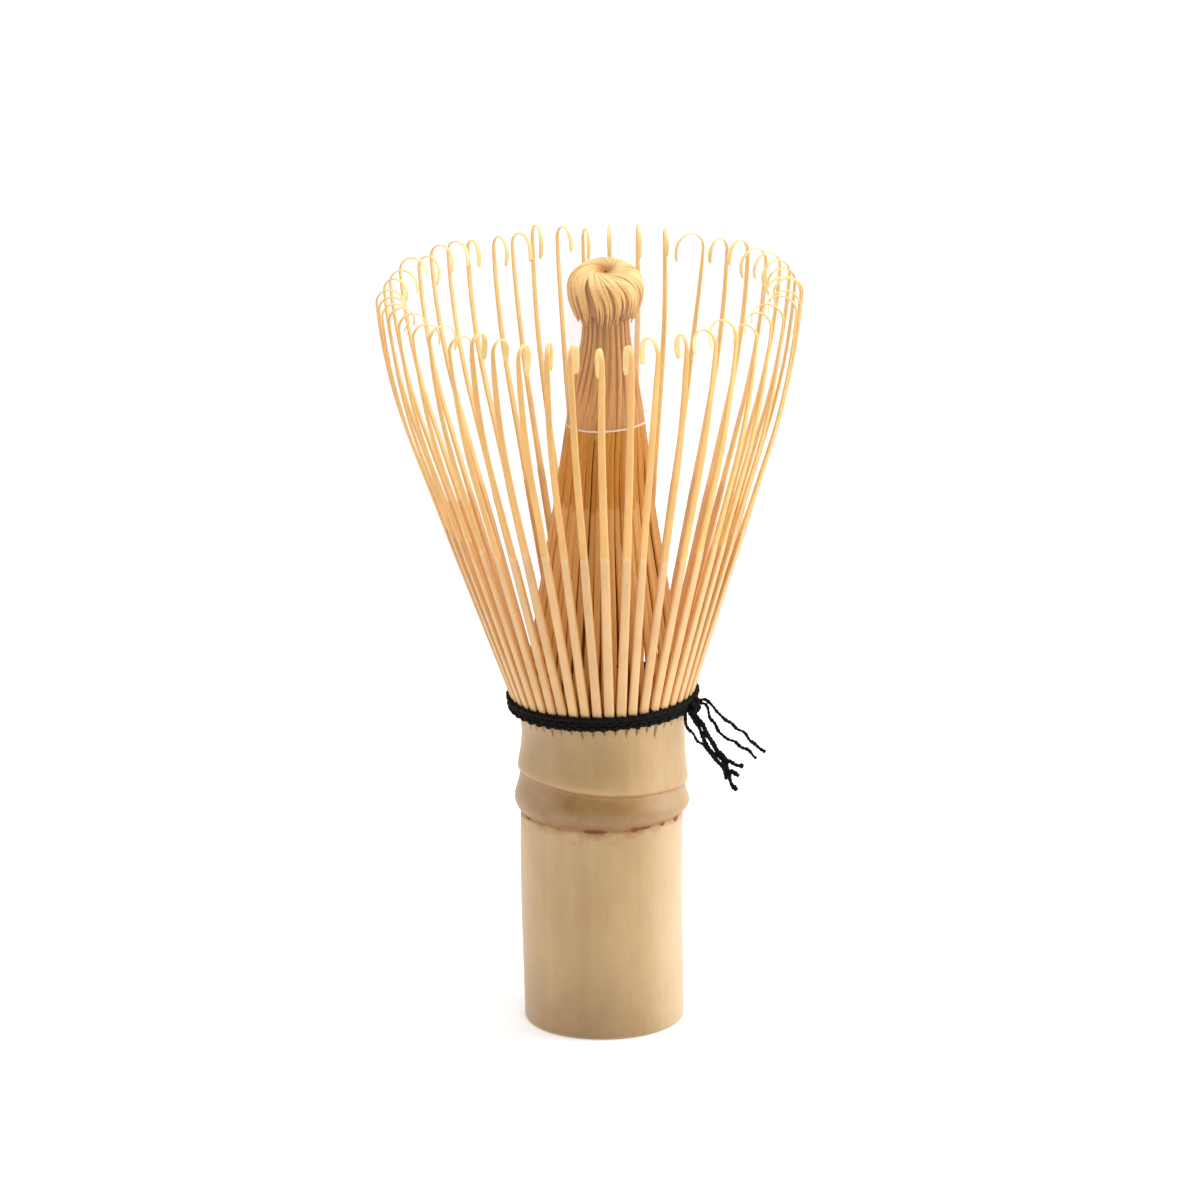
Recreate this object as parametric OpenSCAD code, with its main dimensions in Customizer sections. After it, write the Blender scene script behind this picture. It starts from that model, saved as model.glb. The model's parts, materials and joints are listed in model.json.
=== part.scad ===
// Bamboo tea whisk: a turned bamboo handle whose upper end is split into an
// outer crown of hooked tines and an inner bundle, bound with thread at the
// root and held together at the tip of the bundle by a clear film sleeve.
// Millimetres, +Z up. Origin: centre of the handle's bottom face.

/* [Handle] */
// Outer radius at the bottom end
foot_r = 10.9; // [9.5:0.1:12.5]
// Outer radius just under the node swelling
shank_r = 11.05; // [10:0.05:13]
// Radius of the blind hollow in the bottom end
bore_r = 6; // [4:0.5:7.5]
// Depth of the blind hollow
bore_depth = 26; // [10:1:28]
// Height of the middle of the node swelling
node_z = 31.2; // [30:0.1:33]
// How far the node swelling rises towards the front, in degrees
node_rise_front = 9; // [0:1:10]
// How far the node swelling rises towards the left, in degrees
node_rise_left = 3; // [0:1:4]
// Radius of the hollow above the node
throat_r = 8.8; // [7:0.1:9.5]

/* [Outer tines] */
// Number of outer tines, three in each split of the cane
tine_count = 48; // [48]
// Azimuth of the first tine, in degrees
tine_phase = 4.8; // [0:0.1:7.5]
// Radius at which a tine bends at the binding
pivot_r = 12.1; // [11.9:0.1:12.3]
// Height at which a tine bends at the binding
pivot_z = 46.4; // [46:0.1:48]
// Outward lean of a tine above the binding, in degrees
flare = 18.9; // [15:0.1:22]
// Length of the straight lower stretch of a tine
straight_len = 38.7; // [34:0.1:44]
// Length of the stretch that bends upright
bend_len = 20.4; // [14:0.1:22]
// Lean that is left at the top of that stretch, in degrees
top_lean = 5.5; // [0:0.5:10]
// Radius of the curled hook at the tip
hook_r = 1.6; // [1.2:0.05:2]
// Angle through which the hook curls, in degrees
hook_turn = 205; // [150:5:240]
// Thickness of a tine at the binding
tine_t = 0.72; // [0.5:0.01:0.8]
// Thickness of a tine at the tip
tip_t = 0.42; // [0.3:0.01:0.6]
// Width of a tine at the binding
tine_w = 1.2; // [0.9:0.01:1.25]
// Width of a tine at the top
tip_w = 0.8; // [0.5:0.01:0.9]
// Distance that the crown leans to the left at the rim
crown_lean = 1.4; // [0:0.1:2]

/* [Inner bundle] */
// Number of inner tines
strand_count = 48; // [48]
// Radius of the middle of an inner tine at its root
strand_root_r = 10.7; // [10.6:0.01:10.75]
// Radius of the middle of an inner tine where it enters the sleeve
strand_top_r = 4.95; // [4.75:0.05:5]
// Height at which the inner tines enter the sleeve
strand_top_z = 85.5; // [84.5:0.1:86.5]
// Width of an inner tine
strand_w = 0.58; // [0.4:0.01:0.58]
// Thickness of an inner tine
strand_t = 0.5; // [0.3:0.01:0.5]
// Distance that the bundle stands to the right of the handle's axis
bundle_x = 1; // [0:0.1:1.2]
// Radius of the rolled tip knot
knot_r = 5.1; // [4.6:0.05:5.15]
// Radius of the waist under the tip knot
waist_r = 3.55; // [3:0.05:4.2]
// Height of the top of the tip knot
knot_top_z = 107.7; // [106.5:0.1:110]

/* [Sleeve] */
// Inner radius of the clear sleeve
sleeve_r = 5.45; // [5.4:0.05:6]
// Thickness of the film
sleeve_t = 0.15; // [0.1:0.01:0.25]
// Height of the sleeve's lower edge
sleeve_z = 85.2; // [84.2:0.1:85.4]
// Length of the sleeve
sleeve_len = 21; // [15:0.1:22]

/* [Thread] */
// Diameter of the binding thread
thread_d = 0.55; // [0.4:0.01:0.57]
// Number of turns round the outside
loop_count = 3; // [3]
// Azimuth of the knot, in degrees
tie_azimuth = -15; // [-30:1:30]
// Diameter of a loose thread end
tail_d = 0.6; // [0.4:0.05:0.7]

/* [Hidden] */
TINES = [for (k = [1:tine_count]) str("outer_tine_", k < 10 ? "0" : "", k)];
LOOPS = [for (i = [1:loop_count]) str("thread_loop_", i)];
$fn = 96;

pitch = 360 / tine_count;
root_r = 0.42;                     // half-round root of a tine
seat_r = root_r + 0.06;            // the seat that it rocks in
rim_z = pivot_z - 0.1;             // flat top of the split root ring
rim_in_r = 10.3;
rim_out_r = 12.35;
split_z = 43.6;                    // bottom of the splits
neck_r = 11.15;
slit_w = 0.22;
foot_round = 0.5;
loop_gap = 0.13;                   // clearance of the turns from the tines
lump_r = 0.62;                     // three lumps make the knot
lump_gap = 0.075;
lump_step = 0.6;
lump_pitch = 3;
hook_steps = 9;
bend_steps = 5;
hook_step_len = hook_r * hook_turn * PI / 180 / hook_steps;
crown_h = straight_len + bend_len; // pivot to rim, for the lean and the taper
rim_reach = 17.6;                  // how far a tine spreads from pivot to rim

// A repeatable spread between -1 and 1 for tine k; s picks the series.
function spread(k, s) =
    let (v = sin(k * 129.898 + s * 78.233) * 437.585453)
    2 * (v - floor(v)) - 1;

function azimuth(k) = tine_phase + (k - 1) * pitch;

// The crown leans towards -X, so each tine's own lean and yaw follow from
// where it stands, with a little irregularity on top.
function tine_flare(k) =
    flare - atan(crown_lean / crown_h) * cos(azimuth(k)) + 0.45 * spread(k, 1);
function tine_yaw(k) =
    atan(crown_lean / rim_reach) * sin(azimuth(k)) + 1.2 * spread(k, 2);
function tine_len(k) = straight_len + 0.5 * spread(k, 3);

// A tine's middle line as steps of [length, turn towards the axis].
function tine_steps(k) = concat(
    [[tine_len(k), 0]],
    [for (i = [1:bend_steps])
        [bend_len / bend_steps, (tine_flare(k) - top_lean) / bend_steps]],
    [for (i = [1:hook_steps]) [hook_step_len, hook_turn / hook_steps]]);

// Points [radial, height, heading] along the steps, from the pivot.
function tine_line(k) =
    let (steps = tine_steps(k))
    [for (i = 0, h = tine_flare(k), x = 0, y = 0;
          i <= len(steps);
          h = i < len(steps) ? h - steps[i][1] : h,
          x = i < len(steps) ? x + steps[i][0] * sin(h + steps[i][1] / 2) : x,
          y = i < len(steps) ? y + steps[i][0] * cos(h + steps[i][1] / 2) : y,
          i = i + 1)
        [x, y, h]];

function side(line, s) = [
    for (i = [0:len(line) - 1])
        let (t = tine_t + (tip_t - tine_t) * i / (len(line) - 1))
        [line[i][0] + s * t / 2 * cos(line[i][2]),
         line[i][1] - s * t / 2 * sin(line[i][2])]];

function reversed(v) = [for (i = [len(v) - 1:-1:0]) v[i]];

module tine_profile(k) {
    line = tine_line(k);
    polygon(concat(side(line, 1), reversed(side(line, -1))));
}

// The round root that a tine rocks on, square to its radius on the handle.
module tine_root() {
    rotate([90, 0, 0])
        cylinder(r = root_r, h = tine_w - 0.1, center = true, $fn = 48);
}

module tine_taper() {
    rotate([90, 0, 90])
        translate([0, 0, -2])
            linear_extrude(height = 24)
                polygon([[-tine_w / 2, -1], [tine_w / 2, -1],
                         [tip_w / 2, crown_h + 3], [-tip_w / 2, crown_h + 3]]);
}

module outer_tine(k) {
    color([0.87, 0.70, 0.45])
        rotate([0, 0, azimuth(k)])
            translate([pivot_r, 0, pivot_z]) {
                tine_root();
                rotate([0, 0, tine_yaw(k)])
                    intersection() {
                        rotate([90, 0, 0])
                            linear_extrude(height = 2 * tine_w, center = true)
                                tine_profile(k);
                        tine_taper();
                    }
            }
}

// Outside of the handle, from the foot to the top of the split ring.
module shank_profile() {
    polygon([[0, 0], [foot_r - foot_round, 0],
             [foot_r - 0.3 * foot_round, 0.3 * foot_round],
             [foot_r, foot_round], [shank_r - 0.1, 14], [shank_r, 27],
             [neck_r + 0.3, 34], [neck_r, 37.5], [neck_r, 40.5],
             [neck_r + 0.2, 42.5], [rim_out_r - 0.6, 44.4],
             [rim_out_r, rim_z], [0, rim_z]]);
}

// The swelling at the node: a low ridge above and a fuller one below.
module node_swelling() {
    translate([0, 0, node_z])
        rotate([-node_rise_front, node_rise_left, 0])
            rotate_extrude()
                polygon([[0, -3.6], [shank_r, -3.6], [shank_r + 0.68, -2.4],
                         [shank_r + 0.74, -1.4], [shank_r + 0.35, 0.2],
                         [shank_r + 0.22, 1.6], [shank_r + 0.45, 2.6],
                         [shank_r + 0.36, 3.2], [shank_r - 0.1, 4.2],
                         [0, 4.2]]);
}

module throat() {
    floor_z = node_z + 4.4;
    rotate_extrude()
        polygon([[0, floor_z], [throat_r, floor_z], [throat_r, 40],
                 [rim_in_r, 43.5], [rim_in_r, rim_z + 1], [0, rim_z + 1]]);
}

module tine_seats() {
    rotate_extrude()
        translate([pivot_r, pivot_z])
            circle(r = seat_r, $fn = 32);
}

module slits() {
    for (k = [1:tine_count])
        rotate([0, 0, azimuth(k) + pitch / 2])
            translate([throat_r, -slit_w / 2, split_z])
                cube([5, slit_w, rim_z]);
}

module handle() {
    color([0.84, 0.71, 0.52])
        difference() {
            union() {
                rotate_extrude() shank_profile();
                node_swelling();
            }
            translate([0, 0, -1]) cylinder(r = bore_r, h = bore_depth + 1);
            throat();
            tine_seats();
            slits();
        }
}

// Inner tine k stands in the upright plane through its foot on the root ring
// and its head on the bundle, whose axis is beside the handle's.
module inner_tine(k) {
    a = azimuth(k) + pitch / 2;
    head = [bundle_x + strand_top_r * cos(a), strand_top_r * sin(a)];
    run = strand_root_r * [cos(a), sin(a)] - head;
    half_t = strand_t / 2;
    translate([head[0], head[1], 0])
        rotate([90, 0, atan2(run[1], run[0])])
            linear_extrude(height = strand_w, center = true)
                polygon([[norm(run) - half_t, rim_z],
                         [norm(run) + half_t, rim_z],
                         [half_t, strand_top_z], [-half_t, strand_top_z]]);
}

module inner_tines() {
    color([0.78, 0.58, 0.33])
        for (k = [1:strand_count]) inner_tine(k);
}

// The gathered column of the inner tines and the roll that their ends make.
module tip_knot() {
    waist_z = strand_top_z + 11;
    cap_z = knot_top_z - knot_r;
    color([0.90, 0.74, 0.50])
        translate([bundle_x, 0, 0]) rotate_extrude()
            polygon(concat(
                [[0, strand_top_z]],
                [for (t = [0:0.2:1])
                    [waist_r + (knot_r - waist_r) * (1 - t) * (1 - t),
                     strand_top_z + t * (waist_z - strand_top_z)]],
                [[waist_r, waist_z + 2.5], [knot_r - 0.7, waist_z + 2.8],
                 [knot_r - 0.15, waist_z + 3.6]],
                [for (a = [0:15:90]) [knot_r * cos(a), cap_z + knot_r * sin(a)]]));
}

module ring(r, z, d) {
    translate([0, 0, z])
        rotate_extrude()
            translate([r, 0])
                circle(d = d, $fn = 24);
}

// Two turns of thread between the outer and the inner tines.
module thread_weave() {
    weave_r = (strand_root_r + pivot_r) / 2 + 0.02;
    color([0.12, 0.12, 0.12]) {
        ring(weave_r, rim_z + 0.3, thread_d - 0.07);
        ring(weave_r, rim_z + 0.9, thread_d - 0.07);
    }
}

// Turn i of the thread outside the tines, following their outward lean.
function loop_z(i) = pivot_z - 0.7 + (i - 1) * 0.7;
function loop_r(i) = pivot_r + (tine_t + thread_d) / 2 + loop_gap
    + (loop_z(i) - pivot_z) * tan(flare);

module thread_loop(i) {
    color([0.10, 0.10, 0.10]) ring(loop_r(i), loop_z(i), thread_d);
}

// How far out the knot stands at height z, just clear of the turns.
function knot_reach(z) = loop_r(1) + thread_d / 2 + lump_r + lump_gap
    + (z - loop_z(1)) * tan(flare);

module thread_knot() {
    color([0.08, 0.08, 0.08])
        for (i = [0:2])
            let (z = loop_z(1) + i * lump_step)
                rotate([0, 0, tie_azimuth + (i - 1) * lump_pitch])
                    translate([knot_reach(z), 0, z])
                        sphere(r = lump_r, $fn = 32);
}

// Tip of each loose end, in order from the highest.
tail_tips = [[22.1, -3.4, 39.4], [21.1, -4.0, 39.0], [19.2, -4.4, 37.4],
             [18.5, -5.2, 36.3], [18.4, -4.6, 33.8], [17.4, -5.6, 34.4]];
tail_rings = 7;
tail_sides = 6;

function tail_root(i) =
    let (a = tie_azimuth + (i % 3 - 1) * lump_pitch,
         z = loop_z(2) + 0.3 - 0.25 * i,
         r = knot_reach(z) + lump_r)
    [r * cos(a), r * sin(a), z];

// A loose end leaves the knot sideways and then drops.
function tail_point(i, t) =
    let (a = tail_root(i), b = tail_tips[i])
    a + (b - a) * t + [0.4, 0, 0.6] * sin(180 * t);

// Tube of n-sided rings round points p, each ring upright across the run.
module tube(p, d, n) {
    last = len(p) - 1;
    rings = [for (i = [0:last])
        let (f = p[min(i + 1, last)] - p[max(i - 1, 0)],
             u = cross(f, [0, 0, 1]) / norm(cross(f, [0, 0, 1])),
             v = cross(u, f) / norm(f))
        for (j = [0:n - 1])
            p[i] + d / 2 * (u * cos(360 * j / n) + v * sin(360 * j / n))];
    sides = [for (i = [0:last - 1], j = [0:n - 1])
        [i * n + j, i * n + (j + 1) % n,
         (i + 1) * n + (j + 1) % n, (i + 1) * n + j]];
    caps = [[for (j = [n - 1:-1:0]) j], [for (j = [0:n - 1]) last * n + j]];
    polyhedron(points = rings, faces = concat(sides, caps), convexity = 4);
}

module thread_tails() {
    color([0.10, 0.10, 0.10])
        for (i = [0:len(tail_tips) - 1])
            tube([for (s = [0:tail_rings - 1]) tail_point(i, s / (tail_rings - 1))],
                 tail_d, tail_sides);
}

module sleeve() {
    color([0.92, 0.90, 0.92, 0.4])
        translate([bundle_x, 0, sleeve_z])
            rotate_extrude()
                translate([sleeve_r, 0])
                    square([sleeve_t, sleeve_len]);
}

handle();
for (k = [1:tine_count])
    outer_tine(k);
inner_tines();
tip_knot();
thread_weave();
for (i = [1:loop_count])
    thread_loop(i);
thread_knot();
thread_tails();
sleeve();
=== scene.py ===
import json
import math

import bpy
import numpy as np
from mathutils import Matrix, Vector


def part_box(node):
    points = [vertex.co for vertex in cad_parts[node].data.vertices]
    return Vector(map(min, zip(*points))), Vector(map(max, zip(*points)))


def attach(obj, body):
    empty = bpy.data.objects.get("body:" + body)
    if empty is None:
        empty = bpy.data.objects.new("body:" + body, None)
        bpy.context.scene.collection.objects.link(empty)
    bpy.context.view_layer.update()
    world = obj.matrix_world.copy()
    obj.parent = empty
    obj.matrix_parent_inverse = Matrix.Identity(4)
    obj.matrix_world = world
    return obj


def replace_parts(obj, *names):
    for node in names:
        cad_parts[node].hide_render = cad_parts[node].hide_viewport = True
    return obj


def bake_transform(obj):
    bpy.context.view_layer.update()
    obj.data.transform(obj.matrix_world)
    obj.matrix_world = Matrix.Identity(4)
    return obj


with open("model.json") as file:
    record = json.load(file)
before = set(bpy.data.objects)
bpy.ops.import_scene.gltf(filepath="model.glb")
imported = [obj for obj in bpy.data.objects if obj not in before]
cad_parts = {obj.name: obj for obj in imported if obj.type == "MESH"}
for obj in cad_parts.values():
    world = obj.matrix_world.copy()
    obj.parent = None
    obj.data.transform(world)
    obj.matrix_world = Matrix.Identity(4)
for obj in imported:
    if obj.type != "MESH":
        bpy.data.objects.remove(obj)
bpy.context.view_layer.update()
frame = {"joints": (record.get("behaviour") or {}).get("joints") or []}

MM = 0.001
TAU = 2 * math.pi

# ---------------------------------------------------------------- sizes, mm
# The whisk's pivots come from the frame; the rest are the piece's own sizes.
JOINTS = {j["name"]: j for j in frame["joints"]}
FIRST_PIVOT = [c / MM for c in JOINTS["flex_01"]["pos_m"]]
PIVOT_R = math.hypot(FIRST_PIVOT[0], FIRST_PIVOT[1])
PIVOT_Z = FIRST_PIVOT[2]
TINES = 48
PITCH = 360 / TINES
PHASE = math.degrees(math.atan2(FIRST_PIVOT[1], FIRST_PIVOT[0])) - PITCH

# Outer tines: a straight lean, a bend towards upright, and a hook.
FLARE = 18.9
STRAIGHT = 38.5
BEND = 20.4
TOP_LEAN = 5.5
CROWN_LEAN_X = 1.4
CROWN_HEIGHT = STRAIGHT + BEND
RIM_REACH = 17.6
ROOT_RUN = 1.0
HOOK_R = 1.75
HOOK_TURN = 178
TIP_RUN = 1.7
TIP_TURN = 26
SHAVE_STEP = 26.8
# How much single tines differ from those.
FLARE_VARIES = 0.45
YAW_VARIES = 1.0
STRAIGHT_VARIES = 0.5
TURN_VARIES = 12
BOW = 0.22
# The crown is unevenly spaced: its tines lean sideways by so many degrees.
SIDEWAYS_AT = (0, 52, 66, 100, 115, 128, 142, 160, 180, 225, 255, 285, 320, 360)
SIDEWAYS = (0, 0, 5.0, 5.4, 0.6, -0.6, -4.8, -4.5, 0, 0, -2.2, -2.2, 0, 0)
# One hook has turned out of line, by so many degrees.
STRAY_TINE = 8
STRAY_TURN = -28

# Handle: each ring of the node is a middle height, and how far it rises to
# the right, to the back, and to both sides at once.
FOOT_R = 10.9
FOOT_ROUND = 0.5
BORE_R = 6.0
BORE_DEPTH = 26.0
THROAT_R = 8.8
THROAT_FLOOR = 35.6
RIM_IN_R = 10.3
WALL_TOP = 46.25
NECK_R = 11.13
LOWER_RING = (29.05, -0.09, -1.68, 0.47)
UPPER_RING = (33.91, -0.98, -2.04, 0.6)
SHANK_LEAN_X = -0.2

# Binding: its middle height, and how far it rises to the right and the back.
BIND_Z = (45.92, 0.33, -0.3)
THREAD_R = 0.42
TURN_STEP = 0.68
STITCH_R = 0.34
WEAVE_R = 11.4
WEAVE_THREAD_R = 0.25
KNOT_AZIMUTH = -21

# Inner bundle.
BUNDLE_X = 1.0
SHADE_STEP = 74.4
SLEEVE_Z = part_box("sleeve")[0].z / MM
SLEEVE_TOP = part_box("sleeve")[1].z / MM


# ------------------------------------------------------------ small helpers
def spread(k, series):
    """A repeatable number from -1 to 1 for item k of a series."""
    v = math.sin(math.radians(k * 129.898 + series * 78.233)) * 437.585453
    return 2 * (v - math.floor(v)) - 1


def unit(v):
    return v / np.linalg.norm(v, axis=-1, keepdims=True)


def smoothstep(x, low, high):
    t = np.clip((x - low) / (high - low), 0, 1)
    return t * t * (3 - 2 * t)


def curve(x, xs, ys):
    """Smooth curve through (xs, ys), with level ends."""
    xs, ys = np.asarray(xs, float), np.asarray(ys, float)
    slope = np.gradient(ys, xs)
    x = np.clip(np.asarray(x, float), xs[0], xs[-1])
    i = np.clip(np.searchsorted(xs, x, side="right") - 1, 0, len(xs) - 2)
    h = xs[i + 1] - xs[i]
    t = (x - xs[i]) / h
    a = (1 + 2 * t) * (1 - t) ** 2 * ys[i] + t * (1 - t) ** 2 * h * slope[i]
    b = t * t * (3 - 2 * t) * ys[i + 1] + t * t * (t - 1) * h * slope[i + 1]
    return a + b


def turn_from(where, degrees):
    """The shorter way round from where to an azimuth, -180 to 180."""
    return (degrees - where + 180) % 360 - 180


def polar(radius, degrees, z):
    """Points at that radius, azimuth and height."""
    a = np.radians(degrees)
    return np.stack(np.broadcast_arrays(radius * np.cos(a), radius * np.sin(a), z), -1)


def azimuth(k):
    """Azimuth of outer tine k, counted from 1."""
    return PHASE + (k - 1) * PITCH


class Shape:
    """Collects rings of vertices, with float attributes, into one mesh."""

    def __init__(self):
        self.points, self.faces, self.values, self.count = [], [], {}, 0

    def tube(self, rings, loop=False, caps=True, **values):
        """Adds a tube: rings is (rings, sides, 3), each counter-clockwise."""
        n, m = rings.shape[:2]
        i, j = np.meshgrid(np.arange(n if loop else n - 1), np.arange(m), indexing="ij")
        ni, nj = (i + 1) % n, (j + 1) % m
        quads = np.stack([i * m + j, i * m + nj, ni * m + nj, ni * m + j], -1)
        self.faces += (quads.reshape(-1, 4) + self.count).tolist()
        if caps and not loop:
            first, last = self.count, self.count + (n - 1) * m
            self.faces.append([first + s for s in range(m - 1, -1, -1)])
            self.faces.append([last + s for s in range(m)])
        self.points.append(rings.reshape(-1, 3))
        for key, value in values.items():
            spread_out = np.broadcast_to(value, (n, m)).reshape(-1)
            self.values.setdefault(key, []).append(spread_out)
        self.count += n * m

    def build(self, name, material):
        mesh = bpy.data.meshes.new(name)
        mesh.from_pydata((np.concatenate(self.points) * MM).tolist(), [], self.faces)
        for key, parts in self.values.items():
            layer = mesh.attributes.new(key, "FLOAT", "POINT")
            layer.data.foreach_set("value", np.concatenate(parts).astype(np.float32))
        mesh.shade_smooth()
        mesh.materials.append(material)
        obj = bpy.data.objects.new(name, mesh)
        bpy.context.scene.collection.objects.link(obj)
        return obj


def strip(path, normals, half_t, half_w, sides=10, square=0.55):
    """Rings of a rounded flat strip, and for each vertex how far it is to the
    side and, from 0 to 1, to the back."""
    tangent = unit(np.gradient(path, axis=0))
    normal = unit(normals - (normals * tangent).sum(-1, keepdims=True) * tangent)
    width = np.cross(tangent, normal)
    a = TAU * (np.arange(sides) + 0.5) / sides
    c = np.sign(np.cos(a)) * np.abs(np.cos(a)) ** square
    s = np.sign(np.sin(a)) * np.abs(np.sin(a)) ** square
    rings = (path[:, None] + normal[:, None] * (half_t[:, None] * c)[..., None]
             + width[:, None] * (half_w[:, None] * s)[..., None])
    return rings, np.abs(s), 0.5 - 0.5 * c


def cord(path, radius, lay=1.5, turns=None, sides=12, loop=False, across=(0, 0, 1)):
    """Rings of a two-ply twisted cord that turns once in each lay length."""
    step = np.roll(path, -1, 0) - path if loop else np.gradient(path, axis=0)
    back = path - np.roll(path, 1, 0) if loop else step
    tangent = unit(step + back)
    side = unit(np.cross(tangent, np.asarray(across, float)))
    up = np.cross(side, tangent)
    gaps = np.linalg.norm(np.diff(path, axis=0), axis=-1)
    along = np.concatenate([[0], np.cumsum(gaps)])
    total = along[-1] + (np.linalg.norm(path[0] - path[-1]) if loop else 0)
    turns = turns or (max(1, round(total / lay)) if loop else total / lay)
    twist = TAU * turns * along / total
    a = TAU * np.arange(sides) / sides
    lobe = 0.84 + 0.16 * np.cos(2 * (a[None] - twist[:, None]))
    size = np.broadcast_to(radius, len(path))[:, None] * lobe
    rings = (path[:, None] + up[:, None] * (size * np.cos(a))[..., None]
             - side[:, None] * (size * np.sin(a))[..., None])
    return rings[:, ::-1], lobe[:, ::-1]


def resample(points, spacing):
    """Points at an even spacing along a smooth curve through the given ones."""
    points = np.asarray(points, float)
    knots = np.concatenate([[0], np.cumsum(np.linalg.norm(np.diff(points, axis=0), axis=-1))])
    s = np.linspace(0, knots[-1], max(4, int(knots[-1] / spacing)))
    return np.stack([curve(s, knots, points[:, c]) for c in range(3)], -1)


# ---------------------------------------------------------------- materials
def srgb(r, g, b):
    """Linear colour of an sRGB one given from 0 to 255."""
    return tuple(((c / 255 + 0.055) / 1.055) ** 2.4 for c in (r, g, b)) + (1.0,)


class Material:
    """A node material. Each method adds nodes and returns a socket."""

    def __init__(self, name, **shader):
        self.data = bpy.data.materials.new(name)
        self.data.use_nodes = True
        self.tree = self.data.node_tree
        self.shader = self.tree.nodes["Principled BSDF"]
        self.set(**shader)

    def feed(self, socket, value):
        if isinstance(value, bpy.types.NodeSocket):
            self.tree.links.new(value, socket)
        else:
            socket.default_value = value

    def set(self, **shader):
        for key, value in shader.items():
            self.feed(self.shader.inputs[key.replace("_", " ")], value)

    def node(self, kind, sockets=None, **settings):
        made = self.tree.nodes.new("ShaderNode" + kind)
        for key, value in settings.items():
            setattr(made, key, value)
        for key, value in (sockets or {}).items():
            self.feed(made.inputs[key], value)
        return made

    def attribute(self, name):
        return self.node("Attribute", attribute_name=name).outputs["Fac"]

    def calc(self, operation, a, b=0.0):
        return self.node("Math", {0: a, 1: b}, operation=operation).outputs[0]

    def vector(self, x, y, z):
        return self.node("CombineXYZ", {0: x, 1: y, 2: z}).outputs[0]

    def place(self, *per_mm):
        """Object coordinates with that many units to the millimetre."""
        where = self.node("TexCoord").outputs["Object"]
        scale = [s / MM for s in per_mm]
        return self.node("Mapping", {"Vector": where, "Scale": scale}).outputs[0]

    def noise(self, vector, detail=3.0, rough=0.55):
        sockets = {"Vector": vector, "Scale": 1.0, "Detail": detail, "Roughness": rough}
        return self.node("TexNoise", sockets).outputs["Fac"]

    def ease(self, value, low, high):
        """0 where value is below low, 1 above high, and smooth between."""
        sockets = {"Value": value, "From Min": low, "From Max": high}
        return self.node("MapRange", sockets, interpolation_type="SMOOTHSTEP").outputs[0]

    def mix(self, amount, a, b, how="MIX"):
        sockets = {0: amount, 6: a, 7: b}
        return self.node("Mix", sockets, data_type="RGBA", blend_type=how).outputs[2]

    def shade(self, amount, colour, factor):
        """colour, multiplied by the grey factor where amount is 1."""
        return self.mix(amount, colour, (factor, factor, factor, 1), "MULTIPLY")

    def bump(self, height, depth, strength=1.0, under=None):
        """A normal for relief of that depth in millimetres."""
        sockets = {"Height": height, "Distance": depth * MM, "Strength": strength}
        if under is not None:
            sockets["Normal"] = under
        return self.node("Bump", sockets).outputs[0]


SKIN_SHANK = srgb(194, 159, 106)
SKIN_SHANK_DEEP = srgb(182, 144, 89)
SKIN_NODE = srgb(188, 148, 86)
SKIN_NECK = srgb(195, 158, 102)
SKIN_NECK_DEEP = srgb(178, 140, 82)
RING_BROWN = srgb(158, 102, 50)
SCAR_BROWN = srgb(126, 70, 24)
CUT_END = srgb(206, 176, 132)
PAINTED_SLIT_SHADE = srgb(142, 102, 56)
SHADE_AND_DARKENING_TINT = (0.48, 0.37, 0.22, 1)
PAINTED_SIDE_HIGHLIGHT = srgb(240, 220, 186)
SMUDGE = (0.78, 0.56, 0.32, 1)


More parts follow.
